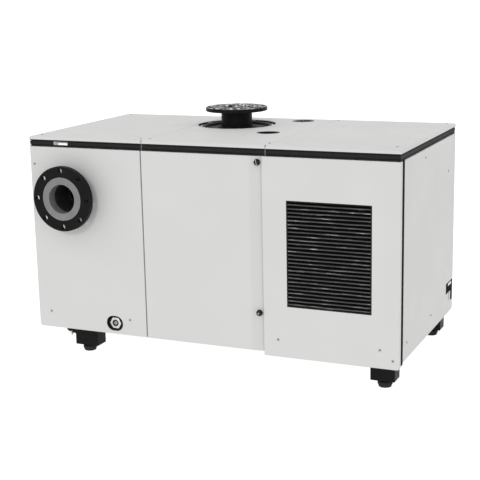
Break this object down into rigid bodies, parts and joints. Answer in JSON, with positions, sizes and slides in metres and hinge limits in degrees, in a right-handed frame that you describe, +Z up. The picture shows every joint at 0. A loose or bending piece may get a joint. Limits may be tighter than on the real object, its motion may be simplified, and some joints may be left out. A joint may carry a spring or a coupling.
{
  "type": "enclosed rotary vane vacuum pump",
  "caption": "Floor-standing rotary vane vacuum pump in a light grey sheet-metal cabinet, with a front exhaust flange, a top inlet flange, a louvred grille and a service door.",
  "frame": {"origin": "on the floor, under the centre of the whole pump's bounding box", "axes": "+Z up and along the inlet flange; +X along the cabinet, towards the grille end; -Y out of the front, along the exhaust flange"},
  "size_m": [1.66, 0.96, 1.046],
  "materials": {
    "cabinet_paint": "light grey fine-textured powder coat, satin",
    "black_paint": "black satin paint",
    "black_trim": "black semi-matt moulding",
    "pad_rubber": "matt black rubber",
    "cast_iron": "dark grey paint on a casting",
    "grey_casting": "grey paint, matt",
    "machined_steel": "machined",
    "aluminium": "mill finish",
    "black_plastic": "matt moulded",
    "belt_rubber": "matt ribbed rubber",
    "vane_composite": "fibre composite, semi-matt",
    "filter_fibre": "glass-fibre filter sleeve"
  },
  "bodies": {
    "cabinet": {"base_frame": "black_paint", "corner_post_front_left": "black_paint", "corner_post_front_right": "black_paint", "corner_post_rear_left": "black_paint", "corner_post_rear_right": "black_paint", "door_jamb_left": "black_paint", "door_jamb_right": "black_paint", "top_rail_front": "black_trim", "top_rail_rear": "black_trim", "top_rail_left": "black_trim", "top_rail_right": "black_trim", "foot_bracket_front_left": "black_paint", "foot_bracket_rear_left": "black_paint", "foot_bracket_front_right": "black_paint", "foot_bracket_rear_right": "black_paint", "foot_pad_front_left": "pad_rubber", "foot_pad_rear_left": "pad_rubber", "foot_pad_front_right": "pad_rubber", "foot_pad_rear_right": "pad_rubber", "front_left_panel": "cabinet_paint", "front_right_panel": "cabinet_paint", "left_side_panel": "cabinet_paint", "right_side_panel": "cabinet_paint", "rear_panel": "cabinet_paint", "front_grille": "black_paint", "rear_grille": "black_paint", "top_left_cover": "cabinet_paint", "top_middle_cover": "cabinet_paint", "top_right_cover": "cabinet_paint", "door_hinge_upper": "machined_steel", "door_hinge_lower": "machined_steel", "inlet_port": "cast_iron", "inlet_collar": "black_trim", "exhaust_flange": "black_paint", "exhaust_pipe": "grey_casting", "oil_casing": "cast_iron", "oil_casing_cover": "cast_iron", "exhaust_filter_set": "filter_fibre", "drain_plug": "machined_steel", "pump_cylinder": "cast_iron", "drive_end_cover": "cast_iron", "rear_end_cover": "cast_iron", "drive_belt": "belt_rubber", "motor_housing": "grey_casting", "motor_fan_cowl": "grey_casting", "oil_cooler": "aluminium", "cable_entry": "black_paint"},
    "door": {"front_door": "cabinet_paint"},
    "latch_upper": {"door_latch_upper": "black_trim"},
    "latch_lower": {"door_latch_lower": "black_trim"},
    "pump_rotor": {"rotor": "machined_steel", "pump_pulley": "cast_iron"},
    "vane_1": {"vane_1": "vane_composite"},
    "vane_2": {"vane_2": "vane_composite"},
    "vane_3": {"vane_3": "vane_composite"},
    "motor_shaft": {"motor_rotor": "machined_steel", "motor_pulley": "cast_iron", "motor_fan": "black_plastic"},
    "cooling_fan": {"cooler_fan": "black_plastic"},
    "inlet_plate": {"inlet_valve": "aluminium"}
  },
  "joints": [
    {"name": "door_swing", "type": "hinge", "parent": "cabinet", "child": "door", "pos_m": [-0.273, -0.39, 0.5], "axis": [0, 0, -1], "range_deg": [0, 105]},
    {"name": "latch_upper_turn", "type": "hinge", "parent": "door", "child": "latch_upper", "pos_m": [0.241, -0.395, 0.896], "axis": [0, 1, 0], "range_deg": [0, 90]},
    {"name": "latch_lower_turn", "type": "hinge", "parent": "door", "child": "latch_lower", "pos_m": [0.241, -0.395, 0.274], "axis": [0, 1, 0], "range_deg": [0, 90]},
    {"name": "rotor_spin", "type": "hinge", "parent": "cabinet", "child": "pump_rotor", "pos_m": [0, 0.19277, 0.44923], "axis": [-1, 0, 0], "continuous": true},
    {"name": "vane_1_slide", "type": "slide", "parent": "pump_rotor", "child": "vane_1", "axis": [0, -0.9659, 0.2588], "range_m": [-0.038, 0]},
    {"name": "vane_2_slide", "type": "slide", "parent": "pump_rotor", "child": "vane_2", "axis": [0, -0.7071, -0.7071], "range_m": [0, 0.0245]},
    {"name": "vane_3_slide", "type": "slide", "parent": "pump_rotor", "child": "vane_3", "axis": [0, 0.2588, -0.9659], "range_m": [-0.0025, 0]},
    {"name": "motor_spin", "type": "hinge", "parent": "cabinet", "child": "motor_shaft", "pos_m": [0.5, -0.19, 0.38], "axis": [-1, 0, 0], "continuous": true},
    {"name": "cooler_fan_spin", "type": "hinge", "parent": "cabinet", "child": "cooling_fan", "pos_m": [0.565, 0.354, 0.466], "axis": [0, 1, 0], "continuous": true},
    {"name": "inlet_valve_lift", "type": "slide", "parent": "cabinet", "child": "inlet_plate", "axis": [0, 0, 1], "range_m": [0, 0.03]}
  ],
  "couplings": [
    {"joint": "motor_spin", "follows": "rotor_spin", "ratio": 1.75}
  ]
}
